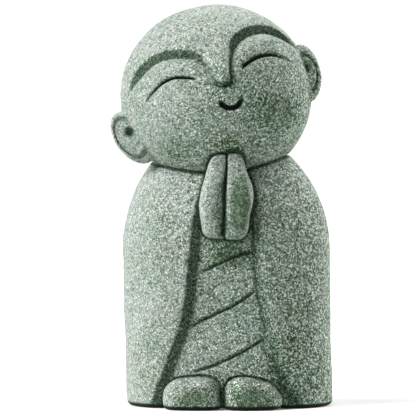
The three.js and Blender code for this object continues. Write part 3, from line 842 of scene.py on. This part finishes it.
def build_figure():
    """The finished piece, and how far, in millimetres, it was moved to stand where the solid does."""
    axes, field = sample_field()
    vertices, quads = surface_nets(axes, field)
    mesh = thinned(mesh_of("rough", settle(vertices), quads), MAX_TRIANGLES)
    p = positions(mesh)
    p[:, 2] = np.maximum(p[:, 2], 0)
    slope = slope_at(p)
    normal = slope / np.maximum(np.linalg.norm(slope, axis=1, keepdims=True), 1e-6)
    for label, values in (
        ("shelter", shelter(p, normal)),
        ("cut_shade_and_dirt", shade_and_dirt_in_cuts(*p.T)),
        ("film_and_shade", film_and_shade(*p.T)),
        ("worn", np.max([smoothstep(hand(*p.T, h), 1, 0.2) for h in HANDS], axis=0)),
        ("upward", normal[:, 2]),
        ("height", p[:, 2] / FULL_HEIGHT),
        ("aside", (p[:, 0] - WIDE_MIDDLE) / WIDE_HALF),
    ):
        layer = mesh.attributes.new(label, "FLOAT", "POINT")
        layer.data.foreach_set("value", values.astype(np.float32))
    middle = (p.min(0) + p.max(0)) / 2
    cad_middle = np.array((cad_box[0] + cad_box[1]) / 2) / MM
    shift = np.array([cad_middle[0] - middle[0], cad_middle[1] - middle[1], 0])
    mesh.vertices.foreach_set("co", ((p + shift) * MM).astype(np.float32).ravel())
    mesh.polygons.foreach_set("use_smooth", np.ones(len(mesh.polygons), bool))
    mesh.name = "stone_jizo"
    mesh.update()
    piece = bpy.data.objects.new("stone_jizo", mesh)
    bpy.context.scene.collection.objects.link(piece)
    return piece, shift


# ---------- material ----------
class Nodes:
    """A node tree that is wired by value: a socket, a number or a colour goes in, a socket comes out."""

    def __init__(self, tree):
        self.tree = tree

    def add(self, kind, out=0, inputs=None, **settings):
        node = self.tree.nodes.new(kind)
        for key, value in settings.items():
            setattr(node, key, value)
        for key, value in (inputs or {}).items():
            if isinstance(value, bpy.types.NodeSocket):
                self.tree.links.new(value, node.inputs[key])
            else:
                node.inputs[key].default_value = value
        return node.outputs[out]

    def maths(self, operation, *values, clamp=False):
        inputs = dict(enumerate(values))
        return self.add("ShaderNodeMath", operation=operation, use_clamp=clamp, inputs=inputs)

    def mix(self, share, a, b, how="MIX"):
        inputs = {"Factor": share, 6: a, 7: b}
        return self.add(
            "ShaderNodeMix", out=2, data_type="RGBA", blend_type=how, clamp_factor=True, inputs=inputs
        )

    def tinted(self, colour, tint):
        """A colour with the given shares of its red, green and blue."""
        return self.mix(1.0, colour, (*tint, 1), how="MULTIPLY")

    def between(self, value, low, high, to_low=0.0, to_high=1.0):
        inputs = {"Value": value, "From Min": low, "From Max": high, "To Min": to_low, "To Max": to_high}
        return self.add("ShaderNodeMapRange", interpolation_type="SMOOTHSTEP", inputs=inputs)

    def noise(self, vector, scale, detail=2.0, rough=0.5):
        inputs = {"Vector": vector, "Scale": scale, "Detail": detail, "Roughness": rough}
        return self.add("ShaderNodeTexNoise", inputs=inputs)

    def attribute(self, name):
        return self.add("ShaderNodeAttribute", out="Fac", attribute_name=name)


def rgb(r, g, b):
    """A colour from its 8-bit display values."""
    linear = [((c / 255 + 0.055) / 1.055) ** 2.4 if c > 10 else c / 255 / 12.92 for c in (r, g, b)]
    return (*linear, 1.0)


def new_material(name):
    """A material, and its shader."""
    material = bpy.data.materials.new(name)
    material.use_nodes = True
    return material, next(x for x in material.node_tree.nodes if x.type == "BSDF_PRINCIPLED")


def nudged(n, at):
    """The point, moved a little, so that the grains looked up there have uneven edges."""
    wobble = n.add("ShaderNodeTexNoise", out="Color", inputs={"Vector": at, "Scale": 1.1, "Detail": 1.0})
    centred = n.add("ShaderNodeVectorMath", operation="SUBTRACT", inputs={0: wobble, 1: (0.5, 0.5, 0.5)})
    nudge = n.add("ShaderNodeVectorMath", operation="SCALE", inputs={0: centred, "Scale": 0.9})
    return n.add("ShaderNodeVectorMath", operation="ADD", inputs={0: at, 1: nudge})


def grains(n, at, scale, channel):
    """A random number from 0 to 1 for each grain, with so many grains to a millimetre."""
    cells = n.add("ShaderNodeTexVoronoi", out="Color", inputs={"Vector": at, "Scale": scale})
    return n.add("ShaderNodeSeparateColor", out=channel, inputs={"Color": cells})


def fresh_stone(n, at, coarse):
    """Soft patches of greyer and greener felspar, blotched, mottled, and with the coarse dark grains."""
    patches = n.between(n.noise(at, 0.045, 3.0), 0.35, 0.65)
    ground = n.mix(patches, rgb(*GREY_FELSPAR), rgb(*GREEN_FELSPAR))
    blotches = n.between(n.noise(at, 0.25, 3.0, 0.6), 0.4, 0.65)
    ground = n.mix(n.maths("MULTIPLY", blotches, 0.55), ground, rgb(*BLOTCH))
    fine = n.between(n.noise(at, 1.5, 3.0, 0.7), 0.3, 0.7)
    ground = n.mix(fine, n.mix(0.5, ground, rgb(*FINE_DARK)), n.mix(0.45, ground, rgb(*FINE_PALE)))
    dark = n.maths("MULTIPLY", n.between(coarse, 0.76, 0.88), 0.75)
    return n.mix(dark, ground, rgb(*DARK_GRAIN))


def painted_crown_light(n):
    """Painted light on the crown where it faces up, most so towards the left ear."""
    crown = n.between(n.attribute("height"), 0.7, 0.9)
    crown_light = n.maths("MULTIPLY", n.between(n.attribute("upward"), 0.1, 0.9), crown)
    return n.maths("MULTIPLY", crown_light, n.between(n.attribute("aside"), -0.7, 0.4))


def with_film_and_shade(n, at, colour, cover, aside):
    """A green film, with painted shade, in patches low down and to the shaded side and where it is given, in
    clumps on rough stone.
    """
    clumps = n.between(n.noise(at, 0.8, 2.0, 0.6), 0.42, 0.6)
    low = n.between(n.attribute("height"), 0.62, 0.02, 0.5, 1.0)
    # Low down and to the right, away from the light: film with painted shade.
    low_aside = n.maths("MULTIPLY", low, n.maths("MULTIPLY", aside, 0.75))
    lies = n.maths("MULTIPLY", n.maths("MAXIMUM", low_aside, n.attribute("film_and_shade")), cover, clamp=True)
    olive = n.tinted(colour, UNDER_FILM_AND_SHADE)
    return n.mix(lies, colour, n.mix(clumps, olive, n.tinted(olive, UNDER_CLUMPS)))


def with_grains(n, colour, coarse, small, aside):
    """White grains show through the film, the more so on the rougher side, and the finest lie over all."""
    share = n.maths("ADD", 0.55, n.maths("MULTIPLY", aside, 0.35))
    colour = n.mix(n.maths("MULTIPLY", n.between(coarse, 0.28, 0.16), share), colour, rgb(*PALE_GRAIN))
    small_dark, small_pale = n.between(small, 0.86, 0.94), n.between(small, 0.14, 0.07)
    colour = n.mix(n.maths("MULTIPLY", small_dark, 0.8), colour, rgb(*SMALL_DARK_GRAIN))
    return n.mix(n.maths("MULTIPLY", small_pale, 0.9), colour, rgb(*SMALL_PALE_GRAIN))


def with_side_shade_and_film(n, at, colour, cover, crown_light):
    """Painted light and shade by side: the lit left keeps less of its contrast and is paler and greyer, the
    shaded right has more and is darker and greener. Thick film, partly painted shade, is dark.
    """
    # Painted shade: the contrast rises to the right, away from the light.
    contrast = n.between(n.attribute("aside"), -0.75, 0.1, 0.7, 1.26)
    even = n.maths("MULTIPLY", n.maths("MAXIMUM", crown_light, n.attribute("worn")), 0.35)
    contrast = n.maths("SUBTRACT", contrast, even)
    level = n.maths("POWER", MIDDLE_GREY, n.maths("SUBTRACT", 1.0, contrast))
    steeper = n.add("ShaderNodeGamma", inputs={"Color": colour, "Gamma": contrast})
    colour = n.add("ShaderNodeVectorMath", operation="SCALE", inputs={0: steeper, "Scale": level})
    hue = n.mix(n.between(n.noise(at, 0.11, 3.0, 0.6), 0.36, 0.64), (*COOLER, 1), (*WARMER, 1))
    colour = n.mix(1.0, colour, hue, how="MULTIPLY")
    patchy = n.between(cover, 0.4, 0.9, 0.6, 1.0)
    thick = n.maths("MULTIPLY", n.between(n.attribute("film_and_shade"), 0.8, 2.0), patchy)
    return n.mix(thick, colour, n.mix(0.5, n.tinted(colour, UNDER_THICK_FILM_AND_SHADE), rgb(*THICK_FILM_AND_SHADE)))


def with_painted_shade_and_dirt(n, at, colour, small):
    """Painted shade, with dirt, wherever the stone and the table shelter it, and the rough walls of the cuts
    darker still with painted shade and dirt. At the foot and in the darkest cuts, near-black painted shadow.
    """
    # Painted shade from the occlusion, with some dirt.
    occlusion_shade = n.between(n.attribute("shelter"), 0.14, 0.58)
    rough = n.between(n.noise(at, 0.7, 3.0), 0.25, 0.6, 0.75, 1.0)
    rough = n.maths("SUBTRACT", rough, n.between(small, 0.4, 0.15, 0.0, 0.22))
    cut_shade_and_dirt = n.maths("MULTIPLY", n.maths("MINIMUM", n.attribute("cut_shade_and_dirt"), 1.1), rough)
    shade_and_dirt = n.maths("MAXIMUM", n.maths("MULTIPLY", occlusion_shade, 0.9), cut_shade_and_dirt)
    colour = n.mix(shade_and_dirt, colour, n.tinted(colour, SHADED_AND_DIRTY))
    # Near-black painted shadow along the foot of the stone, where it meets the table, and in the darkest
    # cuts.
    contact_shadow = n.between(n.attribute("height"), 0.012, 0.008)
    deep = n.maths("MAXIMUM", n.between(n.attribute("cut_shade_and_dirt"), 1.0, 1.5), contact_shadow)
    return n.mix(n.maths("MULTIPLY", deep, 0.95), colour, rgb(*PAINTED_BLACK_SHADOW))


def granite():
    material, shader = new_material("grey_green_granite")
    shader.inputs["Specular IOR Level"].default_value = SPECULAR
    n = Nodes(material.node_tree)
    metres = n.add("ShaderNodeTexCoord", out="Object")
    at = n.add("ShaderNodeVectorMath", operation="SCALE", inputs={0: metres, "Scale": 1 / MM})
    grain_at = nudged(n, at)
    coarse, small = grains(n, grain_at, 1.4, 0), grains(n, grain_at, 2.4, 1)
    cover = n.between(n.noise(at, 0.2, 5.0, 0.65), 0.36, 0.66, 0.4, 1.0)
    aside = n.between(n.attribute("aside"), 0.1, 0.8)
    crown_light = painted_crown_light(n)

    colour = fresh_stone(n, at, coarse)
    # Painted light: the crown lightened where it faces up.
    colour = n.mix(crown_light, colour, n.tinted(colour, CROWN_LIGHT))
    colour = with_film_and_shade(n, at, colour, cover, aside)
    colour = with_grains(n, colour, coarse, small, aside)
    colour = with_side_shade_and_film(n, at, colour, cover, crown_light)
    # Painted shade and dirt, and near-black painted shadow.
    colour = with_painted_shade_and_dirt(n, at, colour, small)

    relief = n.maths("ADD", n.noise(at, 0.9, 4.0, 0.7), n.maths("MULTIPLY", coarse, 0.25))
    bump = n.add("ShaderNodeBump", inputs={"Strength": RELIEF, "Distance": RELIEF_HEIGHT, "Height": relief})
    for name, socket in (
        ("Base Color", colour),
        ("Roughness", n.between(coarse, 0.1, 0.95, 0.78, 0.96)),
        ("Normal", bump),
    ):
        material.node_tree.links.new(socket, shader.inputs[name])
    return material


# ---------- studio ----------
def make_floor(half_width=9.0):
    """A plain white table. Only the camera sees it: the light that it would send up comes from the world."""
    material, shader = new_material("white_floor")
    shader.inputs["Base Color"].default_value = (0.9, 0.9, 0.9, 1)
    shader.inputs["Roughness"].default_value = 0.9
    shader.inputs["Emission Color"].default_value = (1, 1, 1, 1)
    shader.inputs["Emission Strength"].default_value = 0.1
    mesh = bpy.data.meshes.new("floor")
    corners = [(x * half_width, y * half_width, 0) for x, y in ((-1, -1), (1, -1), (1, 1), (-1, 1))]
    mesh.from_pydata(corners, [], [(0, 1, 2, 3)])
    mesh.materials.append(material)
    floor = bpy.data.objects.new("floor", mesh)
    floor.visible_diffuse = False
    bpy.context.scene.collection.objects.link(floor)


def soft_light(name, azimuth, elevation, strength):
    """A large soft box, far off. Azimuth 0 is where the figure looks, and 90 its left."""
    a, e = math.radians(azimuth), math.radians(elevation)
    towards = Vector((math.sin(a) * math.cos(e), -math.cos(a) * math.cos(e), math.sin(e)))
    light = bpy.data.lights.new(name, "SUN")
    light.energy, light.angle, light.color = strength, math.radians(LIGHT_SPREAD), LIGHT_TINT
    holder = bpy.data.objects.new(name, light)
    holder.location = towards
    holder.rotation_mode = "QUATERNION"
    holder.rotation_quaternion = towards.to_track_quat("Z", "Y")
    bpy.context.scene.collection.objects.link(holder)


def make_world():
    """Light from below as a white table gives it, hardly any from above, and white where the camera looks."""
    world = bpy.data.worlds.new("studio")
    world.use_nodes = True
    bpy.context.scene.world = world
    world.node_tree.nodes.clear()
    n = Nodes(world.node_tree)
    way = n.add("ShaderNodeTexCoord", out="Generated")
    up = n.add("ShaderNodeSeparateXYZ", out="Z", inputs={"Vector": way})
    light = n.between(up, -0.12, 0.12, WORLD_BELOW, WORLD_ABOVE)
    seen = n.add("ShaderNodeLightPath", out="Is Camera Ray")
    strength = n.maths("MAXIMUM", light, n.maths("MULTIPLY", seen, WORLD_SEEN))
    tint = n.mix(seen, WORLD_TINT, (1, 1, 1, 1))
    sky = n.add("ShaderNodeBackground", inputs={"Color": tint, "Strength": strength})
    output = world.node_tree.nodes.new("ShaderNodeOutputWorld")
    world.node_tree.links.new(sky, output.inputs["Surface"])


def make_camera(shift):
    """Level with the chest, a little to the figure's left, and far enough away for hardly any perspective."""
    azimuth, distance, height = math.radians(2), 1500.0, 110.0
    aside, aim, view_width = -9.9, 88.2, 187.2
    right = Vector((math.cos(azimuth), math.sin(azimuth), 0))
    target = right * aside + Vector((shift[0], shift[1], aim))
    rise = math.atan((height - aim) / distance)
    back = Vector((math.sin(azimuth) * math.cos(rise), -math.cos(azimuth) * math.cos(rise), math.sin(rise)))
    data = bpy.data.cameras.new("camera")
    data.sensor_width = 36
    data.lens = data.sensor_width * distance / view_width
    data.clip_start, data.clip_end = 0.1, 30
    camera = bpy.data.objects.new("camera", data)
    camera.location = (target + back * distance) * MM
    camera.rotation_mode = "QUATERNION"
    camera.rotation_quaternion = (-back).to_track_quat("-Z", "Y")
    bpy.context.scene.collection.objects.link(camera)
    bpy.context.scene.camera = camera


stone, shift = build_figure()
stone.data.materials.clear()
stone.data.materials.append(granite())
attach(stone, "root")
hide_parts("jizo_statue")

make_floor()
make_world()
for light in LIGHTS:
    soft_light(*light)
make_camera(shift)
bpy.context.scene.view_settings.view_transform = "Standard"
